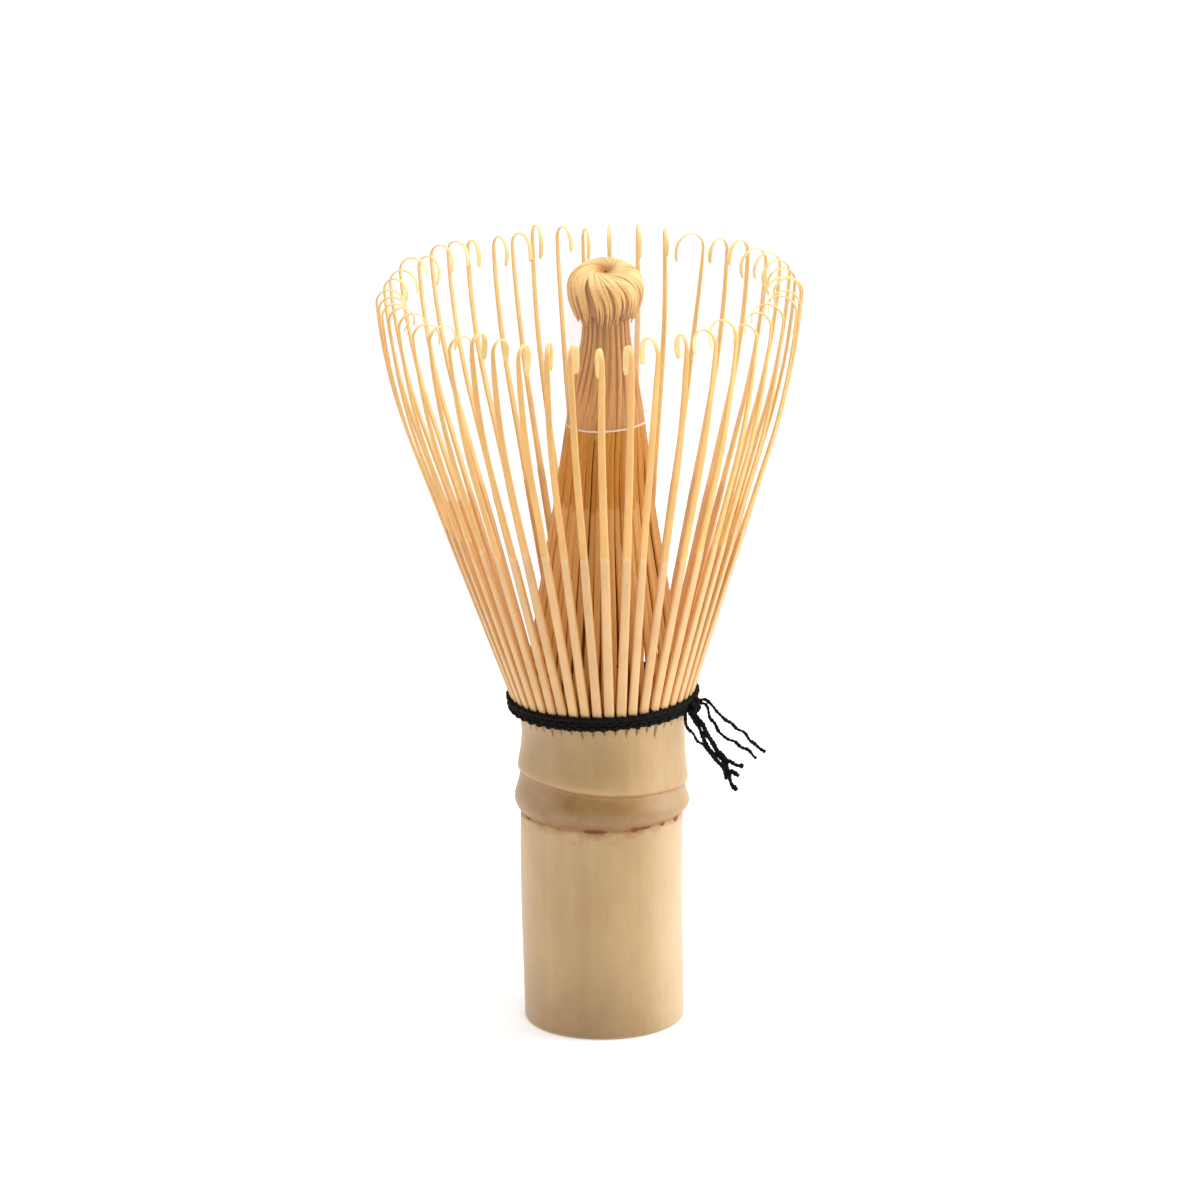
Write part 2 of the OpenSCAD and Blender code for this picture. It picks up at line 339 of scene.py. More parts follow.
def culm_material():
    """Scraped bamboo skin, with the node's rings and scars, painted shade on the node, under the
    binding and in the slits, and a painted highlight on the shank's sides.
    """
    m = Material("bamboo_skin", Specular_IOR_Level=0.85)
    low, up, slit = m.attribute("low"), m.attribute("up"), m.attribute("slit")
    scar, cut, stain = m.attribute("scar"), m.attribute("cut"), m.attribute("stain")
    fibre = m.noise(m.place(7, 7, 0.22), 4, 0.65)
    streak = m.noise(m.place(0.8, 0.8, 0.02), 3)
    blotch = m.noise(m.place(0.1, 0.1, 0.06), 3)
    wobble = m.calc("MULTIPLY", m.calc("SUBTRACT", m.noise(m.place(0.9, 0.9, 0.9)), 0.5), 0.5)
    uneven = m.ease(m.calc("ADD", m.calc("MULTIPLY", blotch, 0.75),
                           m.calc("MULTIPLY", streak, 0.25)), 0.36, 0.66)
    shank = m.mix(uneven, SKIN_SHANK_DEEP, SKIN_SHANK)
    neck = m.mix(uneven, SKIN_NECK_DEEP, SKIN_NECK)
    over_low = m.ease(m.calc("ADD", low, wobble), -0.1, 0.15)
    over_up = m.ease(m.calc("ADD", up, wobble), -0.1, 0.2)
    colour = m.mix(over_low, shank, m.shade(uneven, SKIN_NODE, 1.05))
    colour = m.mix(over_up, colour, neck)
    # Painted shade on the node's front and lower part and under the binding, with darkening at the
    # foot and on the neck, broken up by cloud noise.
    cloudy = m.calc("ADD", m.noise(m.place(0.4, 0.4, 0.5), 3), 0.5)
    colour = m.mix(m.calc("MULTIPLY", stain, cloudy), colour, SHADE_AND_DARKENING_TINT, "MULTIPLY")
    ring = m.ease(m.calc("ABSOLUTE", m.calc("ADD", up, m.calc("MULTIPLY", wobble, 0.5))), 0.5, 0.0)
    colour = m.mix(m.calc("MULTIPLY", ring, 0.65), colour, RING_BROWN)
    patchy = m.ease(m.noise(m.place(1.3, 1.3, 2.2), 4, 0.7), 0.5, 0.62)
    seam = m.ease(m.calc("ABSOLUTE", m.calc("ADD", low, m.calc("MULTIPLY", wobble, 1.2))), 0.9, 0.0)
    faint = m.calc("ADD", m.calc("MULTIPLY", patchy, 0.4), 0.5)
    colour = m.mix(m.calc("MULTIPLY", seam, faint), colour, RING_BROWN)
    smudge = m.ease(m.calc("ADD", low, m.calc("MULTIPLY", wobble, 6.0)), -2.4, -0.2)
    smudge = m.calc("MULTIPLY", smudge, m.ease(low, 0.2, 0.0))
    smudge = m.calc("MULTIPLY", smudge, m.ease(m.noise(m.place(0.45, 0.45, 0.6), 2, 0.5), 0.4, 0.6))
    colour = m.mix(m.calc("MULTIPLY", smudge, 0.75), colour, SMUDGE, "MULTIPLY")
    # Painted highlight on the right and the left sides of the shank.
    colour = m.mix(m.attribute("pale"), colour, PAINTED_SIDE_HIGHLIGHT)
    crust = m.ease(m.calc("SUBTRACT", scar, m.calc("MULTIPLY", patchy, 0.3)), 0.25, 0.6)
    colour = m.mix(crust, colour, SCAR_BROWN)
    colour = m.shade(m.ease(fibre, 0.62, 0.3), colour, 0.95)
    fleck = m.ease(m.noise(m.place(5, 5, 0.5), 2, 0.4), 0.7, 0.76)
    colour = m.mix(m.calc("MULTIPLY", fleck, 0.3), colour, RING_BROWN)
    grain = m.noise(m.place(9, 9, 9), 2, 0.6)
    colour = m.mix(cut, colour, m.shade(grain, CUT_END, 0.72))
    # Painted shade in the slits between the tines.
    colour = m.mix(slit, colour, PAINTED_SLIT_SHADE)
    gloss = m.calc("ADD", m.calc("MULTIPLY", fibre, 0.2), 0.34)
    dull = m.calc("MAXIMUM", m.calc("MAXIMUM", crust, cut), m.calc("MULTIPLY", seam, 0.8))
    gloss = m.calc("ADD", gloss, m.calc("MULTIPLY", dull, 0.4))
    relief = m.bump(fibre, 0.05, 0.6)
    relief = m.bump(m.calc("ADD", crust, m.calc("MULTIPLY", grain, cut)), -0.08, 0.6, relief)
    m.set(Base_Color=colour, Roughness=gloss, Normal=relief)
    return m.data


TINE_FACE = srgb(234, 188, 133)
TINE_SIDE = srgb(229, 169, 96)
TINE_SHAVED = srgb(241, 187, 112)
TINE_INNER_PAINTED_LIGHT = srgb(252, 210, 144)
TINE_SHAVED_SIDE_PAINTED_LIGHT = srgb(245, 194, 124)
TINE_TIP_AND_GLOW = srgb(255, 226, 160)
SKIN_END = srgb(248, 211, 162)


def tine_material():
    """Split bamboo: paler skin below the shaving step, golden above it."""
    m = Material("bamboo_tine", Specular_IOR_Level=0.4)
    past, side, tip, tone = (m.attribute(n) for n in ("past", "side", "tip", "tone"))
    inner = m.ease(m.attribute("inner"), 0.5, 0.9)
    where = m.vector(m.calc("MULTIPLY", side, 3.0), m.calc("MULTIPLY", past, 0.16),
                     m.calc("MULTIPLY", tone, 40.0))
    fibre = m.noise(m.place(8, 8, 0.5), 4, 0.6)
    mottle = m.noise(where, 3)
    edge = m.ease(side, 0.75, 1.0)
    skin = m.mix(edge, TINE_FACE, TINE_SIDE)
    # The shaved sides and the inner faces are lighter than the shaved face: painted light.
    shaved = m.mix(edge, m.mix(inner, TINE_SHAVED, TINE_INNER_PAINTED_LIGHT), TINE_SHAVED_SIDE_PAINTED_LIGHT)
    over = m.calc("SUBTRACT", past, m.calc("MULTIPLY", m.ease(side, 0.9, 0.2), 0.9))
    pale = m.calc("MULTIPLY", m.ease(over, -1.3, -0.2), m.ease(side, 1.0, 0.7))
    skin = m.mix(m.calc("MULTIPLY", pale, 0.45), skin, SKIN_END)
    colour = m.mix(m.ease(over, -0.2, 0.2), skin, shaved)
    # Pale cream hooks and tips: thin shavings are paler, and the colour also holds painted light
    # for light shining through them.
    colour = m.mix(m.ease(tip, 0.0, 3.5), colour, TINE_TIP_AND_GLOW)
    colour = m.shade(m.ease(mottle, 0.62, 0.35), colour, 0.9)
    colour = m.shade(m.ease(fibre, 0.6, 0.3), colour, 0.95)
    colour = m.shade(m.ease(tone, 1.0, -1.0), colour, 0.93)
    m.set(Base_Color=colour, Roughness=m.calc("ADD", m.calc("MULTIPLY", fibre, 0.25), 0.38),
          Normal=m.bump(fibre, 0.03, 0.6))
    return m.data


STRAND_LOW = srgb(212, 156, 86)
STRAND_HIGH = srgb(197, 130, 42)
STRAND_COLUMN = srgb(215, 152, 64)
STRAND_CAP = srgb(255, 218, 152)
STRAND_SKIRT = srgb(255, 208, 121)
STRAND_HEART_SHADE = srgb(198, 128, 54)
PAINTED_STRAND_EDGE_LIGHT = srgb(236, 160, 74)


def strand_material():
    """Fine shaved strands: golden in the cone, cream where they turn over."""
    m = Material("bamboo_strand", Specular_IOR_Level=0.4)
    rise, turned, tone, side = (m.attribute(n) for n in ("rise", "turned", "tone", "side"))
    fibre = m.noise(m.place(9, 9, 0.6), 4, 0.65)
    colour = m.mix(m.ease(rise, -0.4, 0.4), STRAND_LOW, STRAND_HIGH)
    colour = m.mix(m.ease(rise, 9.0, 14.0), colour, STRAND_COLUMN)
    # Painted shade: the heart and the under wisps take a darker brown.
    colour = m.mix(m.ease(turned, 0.0, 0.12), colour, STRAND_HEART_SHADE)
    colour = m.mix(m.ease(turned, 0.08, 0.3), colour, STRAND_CAP)
    colour = m.mix(m.ease(turned, 0.5, 0.75), colour, STRAND_SKIRT)
    colour = m.shade(m.ease(fibre, 0.65, 0.3), colour, 0.86)
    colour = m.shade(m.ease(tone, 1.0, -1.0), colour, 0.78)
    # Painted light on the strands' edges, against the shade between them.
    colour = m.mix(m.calc("MULTIPLY", m.ease(side, 0.5, 1.0), 0.5), colour, PAINTED_STRAND_EDGE_LIGHT)
    m.set(Base_Color=colour, Roughness=m.calc("ADD", m.calc("MULTIPLY", fibre, 0.25), 0.4),
          Normal=m.bump(fibre, 0.05, 0.7))
    return m.data


THREAD_BLACK = srgb(17, 15, 13)
THREAD_WORN = srgb(38, 33, 28)


def thread_material():
    """Matt black cotton: hairs lift the colour on the crowns of the plies."""
    m = Material("black_thread", Specular_IOR_Level=0.12)
    hair = m.noise(m.place(9, 9, 9), 4, 0.7)
    crown = m.calc("MULTIPLY", m.ease(m.attribute("crown"), 0.75, 1.0), m.ease(hair, 0.4, 0.7))
    m.set(Base_Color=m.mix(crown, THREAD_BLACK, THREAD_WORN),
          Roughness=m.calc("ADD", m.calc("MULTIPLY", hair, 0.2), 0.72),
          Normal=m.bump(hair, 0.06, 0.8))
    return m.data


FILM = srgb(218, 193, 174)
FILM_EDGE = srgb(255, 248, 240)


def film_material():
    """Thin clear film, faintly milky, with handling marks in its gloss."""
    m = Material("clear_film", Base_Color=FILM, Alpha=0.085, IOR=1.45)
    smear = m.noise(m.place(0.35, 0.35, 0.12), 3)
    m.set(Roughness=m.calc("ADD", m.calc("MULTIPLY", smear, 0.25), 0.12),
          Normal=m.bump(m.noise(m.place(0.25, 0.25, 0.08), 2), 0.1, 0.5))
    return m.data


def film_edge_material():
    """The cut edges of the film, where it gathers light."""
    m = Material("film_edge", Base_Color=FILM_EDGE, Alpha=0.4, IOR=1.45)
    nick = m.noise(m.place(2, 2, 2), 3)
    m.set(Roughness=m.calc("ADD", m.calc("MULTIPLY", nick, 0.3), 0.2),
          Normal=m.bump(nick, 0.03, 0.6))
    return m.data


def floor_material():
    """Pale floor whose emission lifts it to white under the whisk, painted light that fills the
    whisk's shadow, and towards the horizon.
    """
    m = Material("studio_floor", Specular_IOR_Level=0.1)
    cloud = m.noise(m.place(0.004, 0.004, 0.004), 2)
    away = m.node("VectorMath", {0: m.place(0.001, 0.001, 0.001)}, operation="LENGTH").outputs[1]
    # Emission: painted light near the whisk, over its shadow, and a glow towards the horizon.
    lift = m.calc("ADD", m.ease(away, 0.33, 1.3), m.calc("MULTIPLY", m.ease(away, 0.25, 0.1), 0.14))
    lift = m.calc("ADD", lift, 0.06)
    m.set(Base_Color=m.mix(cloud, srgb(246, 246, 246), srgb(252, 252, 252)), Roughness=0.9,
          Emission_Color=(1, 1, 1, 1), Emission_Strength=lift)
    return m.data


# ------------------------------------------------------------------- handle
def ring_height(ring, degrees):
    """Height of a tilted, slightly saddled ring of the node."""
    a = np.radians(degrees)
    return ring[0] + ring[1] * np.cos(a) + ring[2] * np.sin(a) + ring[3] * np.cos(2 * a)


def bind_height(degrees):
    """Middle height of the binding at that azimuth."""
    a = np.radians(degrees)
    return BIND_Z[0] + BIND_Z[1] * np.cos(a) + BIND_Z[2] * np.sin(a)


def neck_flare(z):
    """How far the neck swells under the binding."""
    return curve(z, [41.5, 43, 44.4, 45.4, 46.4], [0, 0.12, 0.55, 0.93, 1.24])


def node_radius(u):
    """Outside between the lower ring, at 0, and the upper ring, at 1."""
    return curve(u, [0, 0.05, 0.14, 0.26, 0.38, 0.52, 0.7, 0.88, 0.97, 1],
                 [10.98, 11.16, 11.5, 11.82, 11.95, 11.88, 11.62, 11.38, 11.29, 11.24])


def neck_radius(v):
    """Outside at v above the upper ring, before the flare."""
    return curve(v, [0, 0.2, 0.55, 1.0, 1.8, 3.2, 5, 7, 14],
                 [11.24, 11.44, 11.6, 11.65, 11.56, 11.36, 11.18, NECK_R, NECK_R])


# Root scars on the lower ring: azimuth, half width in degrees, and height.
SCARS = ((265, 9, 0.36), (293, 3, 0.42), (301, 6, 0.24), (336, 4.5, 0.55), (318, 2.5, 0.4),
         (150, 7, 0.22), (78, 5, 0.26), (30, 3, 0.3), (205, 4, 0.2))
# Azimuths where the node's painted shade and the foot's darkening are strongest, and where the neck
# is darker.
DARKER_SIDE = 250
DARK_NECK_SIDE = 238
SLIT_FROM = 2.4


def scar_amount(degrees, above):
    """How much of the root scars on the lower ring covers a point."""
    total = np.zeros_like(above)
    for where, wide, tall in SCARS:
        gap = turn_from(where, degrees)
        total += np.exp(-(gap / wide) ** 4 - (above / tall) ** 2)
    return np.clip(total, 0, 1)


def stain_amount(a, z, above_low, above_up):
    """Painted shade on the node's front and lower part and under the binding; darker also at the
    foot's front and on the neck's left front.
    """
    facing = 0.5 + 0.5 * np.cos(np.radians(a - DARKER_SIDE))
    neck_side = smoothstep(np.cos(np.radians(a - DARK_NECK_SIDE)), 0.6, 1)
    on_node = smoothstep(above_low, -0.1, 0.3) * (1 - smoothstep(above_up, -0.6, 0))
    foot = 1 - smoothstep(z, 0, 13)
    return (on_node * (0.78 * facing ** 2 + 0.2 * smoothstep(above_low, 3, 0.5))
            + 0.4 * foot * facing + 0.3 * smoothstep(above_up, 0, 1) * neck_side
            + 0.2 * smoothstep(z - bind_height(a), -2.4, -1))


def painted_highlight_amount(a, above_low):
    """Painted highlight: paler skin on the right and the left of the shank."""
    right = 0.3 * smoothstep(np.cos(np.radians(a - 8)), 0.2, 1)
    left = 0.1 * smoothstep(np.cos(np.radians(a - 180)), 0.5, 1)
    return (right + left) * (1 - 0.9 * smoothstep(above_low, -0.3, 0.3))


def culm_columns():
    """Azimuths of the culm's columns, which bunch up at the slits, how far
    each is from the nearest slit, and a number that is that slit's own."""
    offsets = np.array([0, 0.03, 0.07, 0.14, 0.28, 0.5, 0.72, 0.86, 0.93, 0.97])
    index = np.repeat(np.arange(TINES), len(offsets))
    gap = np.tile(offsets, TINES)
    a = azimuth(1) + PITCH / 2 + PITCH * (index + gap)
    off = np.where(gap > 0.5, 1 - gap, gap) * np.radians(PITCH) * PIVOT_R
    own = np.array([spread(k + 1, 11) for k in range(TINES)])
    return a, off, own[(index + (gap > 0.5)) % TINES]


# Each of the next five gives rows of the culm from its hollow foot up the
# outside and down its throat: radius, height, how far sawn, how far slit.
def foot_rows(sway):
    for radius, z in ((0.01, BORE_DEPTH), (BORE_R - 0.4, BORE_DEPTH),
                      (BORE_R, BORE_DEPTH - 0.4), (BORE_R, 0.15), (BORE_R + 0.15, 0), (8, 0)):
        yield radius, z, 1, 0
    for t in (0, 0.4, 0.75, 1):
        lean = math.radians(90 * t)
        yield (FOOT_R - FOOT_ROUND * (1 - math.sin(lean)) + sway,
               FOOT_ROUND * (1 - math.cos(lean)), 1 - t, 0)


def shank_rows(low, sway):
    for t in np.concatenate([np.linspace(0.05, 0.96, 16), [0.975, 0.985, 0.992, 0.997]]):
        z = FOOT_ROUND + (low - FOOT_ROUND) * t
        yield FOOT_R + 0.18 * z / 28 - 0.06 * smoothstep(z - low, -0.5, 0) + sway, z, 0, 0


def node_rows(low, up, sway):
    for u in np.concatenate([[0, 0.012, 0.03, 0.055, 0.085, 0.12],
                             np.linspace(0.17, 0.9, 16), [0.93, 0.955, 0.975, 0.99]]):
        yield node_radius(u) + sway, low + (up - low) * u, 0, 0
    for v in np.concatenate([[0, 0.03, 0.07, 0.13], np.linspace(0.2, 1, 22) ** 1.3 * SLIT_FROM]):
        yield neck_radius(v) + sway, up + v, 0, 0


def slit_rows(a, off, own, up, sway):
    slit_low = bind_height(a) - 2.6 - 0.5 * own - 0.5 * (own > 0.6)
    base = up + SLIT_FROM
    for t in np.linspace(0, 1, 26)[1:]:
        z = base + (WALL_TOP - base) * t ** 0.85
        rise = np.clip(z - slit_low, 0, 3)
        half = 0.12 + 0.13 * rise
        inside = np.clip(1 - off / half, 0, 1) * smoothstep(rise, 0, 0.5)
        radius = neck_radius(z - up) + neck_flare(z) + sway * (1 - smoothstep(z, 42, 45))
        rounded = 0.1 * smoothstep(rise, 0.5, 2) * (off / 0.8) ** 2
        yield radius - 0.3 * inside - rounded, z, 0, inside ** 0.5


def throat_rows():
    for radius, z in ((12.2, 46.32), (RIM_IN_R + 0.15, 46.32), (RIM_IN_R, 46.15),
                      (RIM_IN_R, 43.5), (THROAT_R, 40), (THROAT_R, THROAT_FLOOR),
                      (0.01, THROAT_FLOOR - 0.2)):
        yield radius, z, 1, 0


def handle_shape():
    """The culm, which wanders a little from side to side as it grows."""
    a, off, own = culm_columns()
    low, up = ring_height(LOWER_RING, a), ring_height(UPPER_RING, a)
    sway = 0.03 * np.sin(np.radians(2 * a + 40)) + 0.02 * np.sin(np.radians(5 * a))
    rows = [*foot_rows(sway), *shank_rows(low, sway), *node_rows(low, up, sway),
            *slit_rows(a, off, own, up, sway), *throat_rows()]
    rings = np.array([polar(radius, a, z) for radius, z, _, _ in rows])
    cut, slit = (np.array([np.broadcast_to(row[i], a.shape) for row in rows]) for i in (2, 3))
    z = rings[..., 2]
    above_low, above_up = z - low, z - up
    aside = curve(z, [0, 27, 30, 36, 40, 45], [0, 1, 0.6, -0.4, -0.9, -0.3])
    rings[..., 0] += SHANK_LEAN_X * aside * (1 - cut)
    shape = Shape()
    # Attributes include painted shade and darkening, and a painted highlight on the shank's sides.
    shape.tube(rings, low=above_low, up=above_up, cut=cut, slit=slit,
               stain=stain_amount(a, z, above_low, above_up) * (1 - cut),
               pale=painted_highlight_amount(a, above_low) * (1 - cut), scar=scar_amount(a, above_low))
    return shape


def handle():
    obj = handle_shape().build("culm", culm_material())
    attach(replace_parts(obj, "handle"), "whisk_body")


# -------------------------------------------------------------- outer tines
def hook(k):
    """Radius, turn, twist out of the tine's plane, and straight tip of a
    hook. Hooks are wider at the sides and the right back, longer in front."""
    across = math.cos(math.radians(azimuth(k)))
    to_front = max(0, -math.sin(math.radians(azimuth(k))))
    to_right_back = max(0, math.cos(math.radians(azimuth(k) - 48)))
    open_curl = max(0, spread(k, 9) - 0.55)
    radius = HOOK_R * (0.95 + 0.12 * spread(k, 5) + 0.5 * open_curl + 0.25 * to_right_back
                       + 0.14 * abs(across))
    turn = HOOK_TURN + TURN_VARIES * spread(k, 6)
    twist = STRAY_TURN if k == STRAY_TINE else 4 + 14 * across + 12 * spread(k, 4)
    run = TIP_RUN * (1 + 0.35 * spread(k, 7) + 0.7 * to_front ** 3)
    return radius, turn, twist, run


def tine_path(k):
    """Middle line of tine k, the outward normals, the length from the pivot,
    and that length at the ends of the stretches."""
    at = math.radians(azimuth(k))
    flare = (FLARE - math.degrees(math.atan(CROWN_LEAN_X / CROWN_HEIGHT)) * math.cos(at)
             + FLARE_VARIES * spread(k, 1))
    yaw = (math.degrees(math.atan(CROWN_LEAN_X / RIM_REACH)) * math.sin(at)
           + YAW_VARIES * spread(k, 2) + float(curve(azimuth(k) % 360, SIDEWAYS_AT, SIDEWAYS)))
    hook_r, turn, twist, run = hook(k)
    straight = STRAIGHT + STRAIGHT_VARIES * spread(k, 3)
    arc = hook_r * math.radians(turn)
    marks = np.cumsum([-ROOT_RUN, ROOT_RUN, straight, BEND, arc, run])
    heads = [4, flare, flare, TOP_LEAN, TOP_LEAN - turn, TOP_LEAN - turn - TIP_TURN]
    s = np.concatenate([np.linspace(marks[i], marks[i + 1], n, endpoint=False)
                        for i, n in enumerate((3, 14, 14, 22, 5))] + [marks[-1:]])
    head = np.radians(np.interp(s, marks, heads))
    turned = np.radians(azimuth(k) + yaw + twist * smoothstep(s, marks[2] + 4, marks[3]))
    out = np.stack([np.cos(turned), np.sin(turned), 0 * s], -1)
    rise = np.array([0, 0, 1.0])
    heading = np.sin(head)[:, None] * out + np.cos(head)[:, None] * rise
    normal = np.cos(head)[:, None] * out - np.sin(head)[:, None] * rise
    steps = np.diff(s)[:, None] * unit(heading[1:] + heading[:-1])
    path = np.concatenate([np.zeros((1, 3)), np.cumsum(steps, 0)])
    root = polar(PIVOT_R, azimuth(k), PIVOT_Z)
    path += root - path[np.searchsorted(s, 0)]
    side = np.cross(normal, heading)
    bow = BOW * spread(k, 8) * np.sin(np.pi * np.clip(s / marks[3], 0, 1))
    return path + side * bow[:, None], normal, s, marks


def tine_shape(k):
    path, normal, s, marks = tine_path(k)
    step = SHAVE_STEP + 1.1 * spread(k, 10)
    thick = np.interp(s, [0, step - 0.5, step + 0.6, marks[3], marks[4], marks[5]],
                      [0.76, 0.7, 0.52, 0.29, 0.14, 0.15])
    apex, end = (marks[3] + marks[4]) / 2, marks[5]
    wide = np.interp(s, [0, step - 0.5, step + 0.6, marks[3] - 3, apex, marks[4], end - 0.5, end],
                     [1.24, 1.12, 1.0, 0.76, 0.44 + 0.1 * spread(k, 14), 0.82, 0.74, 0.44])
    to_front = -math.sin(math.radians(azimuth(k)))
    wide = wide * (1 + 0.06 * spread(k, 12) + to_front * (0.1 + 0.1 * smoothstep(s, step, apex)))
    rings, side, inner = strip(path, normal, thick / 2, wide / 2)
    shape = Shape()
    shape.tube(rings, past=(s - step)[:, None], side=side[None], inner=inner[None],
               tip=(s - marks[3])[:, None], tone=spread(k, 13))
    return shape


def outer_tines():
    material = tine_material()
    for k in range(1, TINES + 1):
        obj = tine_shape(k).build(f"tine_{k:02d}", material)
        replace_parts(obj, f"outer_tine_{k:02d}")
        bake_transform(obj)


# -------------------------------------------------------------- inner bundle
# A strand rises in the cone and the column; its split ends turn over the cap.
# Partings and locks are azimuths, with how far and how widely wisps move.
RISE_Z = [45.6, 60, 72, 79, 85.5, 91, 97, 101, 103.6, 105.6, 106.3]
RISE_R = [10.7, 8.95, 7.0, 6.1, 5.15, 4.3, 3.2, 2.9, 2.0, 0.9, 0.12]
CAP_Z = [106.3, 106.4, 106.5, 106.5, 106.35, 106.0, 105.3, 104.3, 103.0, 101.5, 99.9]
CAP_HUMP = [0, 0.35, 0.8, 1.1, 1.15, 0.95, 0.6, 0.3, 0.1, 0, 0]
CAP_R = [0.12, 0.6, 1.4, 2.3, 3.2, 4.05, 4.75, 5.03, 4.92, 4.45, 3.8]
CAP_SWIRL = 115
CAP_SWEEP = 14
CAP_WISPS = 96
CAP_UNDER = 48
PARTINGS = ((247, 6.5, 9), (283, 4, 6), (304, 3, 5), (30, 4, 8), (120, 4, 8), (185, 3, 8))
LOCKS = ((232, 26, 0.35), (280, 30, 0.35), (335, 34, 0.3), (70, 36, 0.3), (155, 34, 0.3))
COLUMN_TWIST = 16


def place_in_bundle(r, degrees, z):
    """Points about the bundle's own axis, which leans to one side."""
    points = polar(r, degrees, z)
    lean = curve(points[..., 2], [40, 56, 72, 86, 97], [0, 0.35, 0.5, 0.85, 1])
    points[..., 0] += BUNDLE_X * lean
    return points


def add_strand(k, shape):
    """An inner tine, up through the cone and the column to the whorl."""
    steps = np.linspace(0, len(RISE_Z) - 1, 40)
    z = curve(steps, range(len(RISE_Z)), RISE_Z)
    r = curve(steps, range(len(RISE_R)), RISE_R)
    r = r - (k % 2) * 0.38 * smoothstep(z, 86, 92) * (r > 1)
    r += (0.3 * spread(k, 29) - 0.25) * smoothstep(z, 48, 66) * (1 - smoothstep(z, 76, 85))
    a = azimuth(k) + PITCH / 2 + COLUMN_TWIST * smoothstep(z, 80, 99) + 0.7 * spread(k, 25)
    wide = np.interp(z, [46, 58, 72, 85, 97, 104], [0.75, 1.04, 0.94, 0.72, 0.54, 0.3])
    thick = np.interp(z, [46, 72, 80, 97], [0.55, 0.55, 0.46, 0.36])
    rings, side, _ = strip(place_in_bundle(r, a, z), polar(1, a, 0 * z), thick / 2,
                           wide * (1 + 0.12 * spread(k, 26)) / 2, 8, 0.7)
    step = SHADE_STEP + 0.8 * spread(k, 27)
    shape.tube(rings, rise=(z - step)[:, None], turned=0, tone=spread(k, 28), side=side[None])


def gather(at, share, under):
    """Degrees by which a wisp that hangs at that azimuth moves aside, away
    from the partings and into the locks."""
    moved = 0
    for where, push, reach in PARTINGS:
        gap = turn_from(where, at)
        push *= 0.6 if under else 1
        moved = moved + (math.copysign(push, gap) * math.exp(-(gap / reach) ** 2)
                         * smoothstep(share, 0.25, 0.75))
    for where, reach, pull in LOCKS:
        gap = turn_from(where, at)
        hold = max(0, 1 - (gap / reach) ** 2) * (0.5 if under else 1)
        moved = moved - pull * hold * gap * smoothstep(share, 0.35, 1)
    return moved


def add_wisp(n, under, shape):
    """A fine split end of an inner tine: it turns over the cap and hangs
    down. The ones under the others are given a darker colour, painted
    shade, and lie evenly."""
    start = n * 360 / (CAP_UNDER if under else CAP_WISPS) + 1.6 * spread(n, 25)
    last = len(CAP_Z) - 1 - (0.3 if under else 0.6 + 0.8 * spread(n, 21))
    over = np.linspace(0, last, 26)
    share = over / last
    z = curve(over, range(len(CAP_Z)), CAP_Z)
    r = curve(over, range(len(CAP_R)), CAP_R)
    lift = -0.2 if under else 0.14 * spread(n, 22)
    r = np.maximum(r + lift * share + 0.12 * spread(n, 23) * share, 0.05)
    a = (start + CAP_SWIRL * (1 - np.exp(-r / 2)) + CAP_SWEEP * smoothstep(share, 0.5, 1)
         + 1.9 * spread(n, 24) * share + gather(start + CAP_SWIRL, share, under))
    towards_back = 0.5 + 0.5 * np.sin(np.radians(a))
    z = z + lift * (1 - 0.6 * share) + towards_back * curve(over, range(len(CAP_HUMP)), CAP_HUMP)
    flat = (smoothstep(share, 0, 0.03) * (1 - smoothstep(share, 0.35, 0.75)))[:, None]
    out = polar(1, a, 0 * z) * (1 - flat) + np.array([0, 0, 1.0]) * flat
    wide = (0.68 if under else 0.54) * (0.3 + 0.7 * smoothstep(r, 0.1, 3))
    wide = wide * (1 + 0.15 * spread(n, 26)) * (1 - 0.8 * smoothstep(share, 0.72, 1))
    rings, side, _ = strip(place_in_bundle(r, a, z), out, 0.11 + 0 * z, wide / 2, 8, 0.8)
    # Under wisps keep a low turned value and a low tone: painted shade.
    shape.tube(rings, rise=20, turned=(0.12 if under else 1) * share[:, None], side=side[None],
               tone=-0.5 if under else spread(n, 28))


def add_heart(shape):
    """The tight middle of the column and the cap, seen between strands, coloured darker brown as
    painted shade.
    """
    column = [(r - 0.45, z) for r, z in zip(RISE_R, RISE_Z) if 85 < z < 102]
    cap = [(r - 0.32, z - 0.3) for r, z in zip(CAP_R, CAP_Z) if 101 < z and r > 3][::-1]
    profile = [(0.01, column[0][1])] + column + [(3.4, 101.8)] + cap + [(0.01, CAP_Z[2] - 0.5)]
    a = np.arange(0, 360, 10)
    rings = np.array([place_in_bundle(r, a, z) for r, z in profile])
    shape.tube(rings, caps=False, rise=20, turned=0.1, tone=0, side=0)


def inner_bundle():
    shape = Shape()
    add_heart(shape)
    for k in range(1, TINES + 1):
        add_strand(k, shape)
    for n in range(CAP_UNDER):
        add_wisp(n, True, shape)
    for n in range(CAP_WISPS):
        add_wisp(n, False, shape)
    obj = shape.build("inner_bundle", strand_material())
    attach(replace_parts(obj, "inner_tines", "tip_knot"), "whisk_body")


# ------------------------------------------------------------------- thread
def grip_radius(z):
    """Outside of the cane under the binding: neck below, tines above."""
    above = PIVOT_R + 0.36 + (z - PIVOT_Z) * math.tan(math.radians(FLARE))
    return np.where(z > PIVOT_Z, above, NECK_R + neck_flare(z))


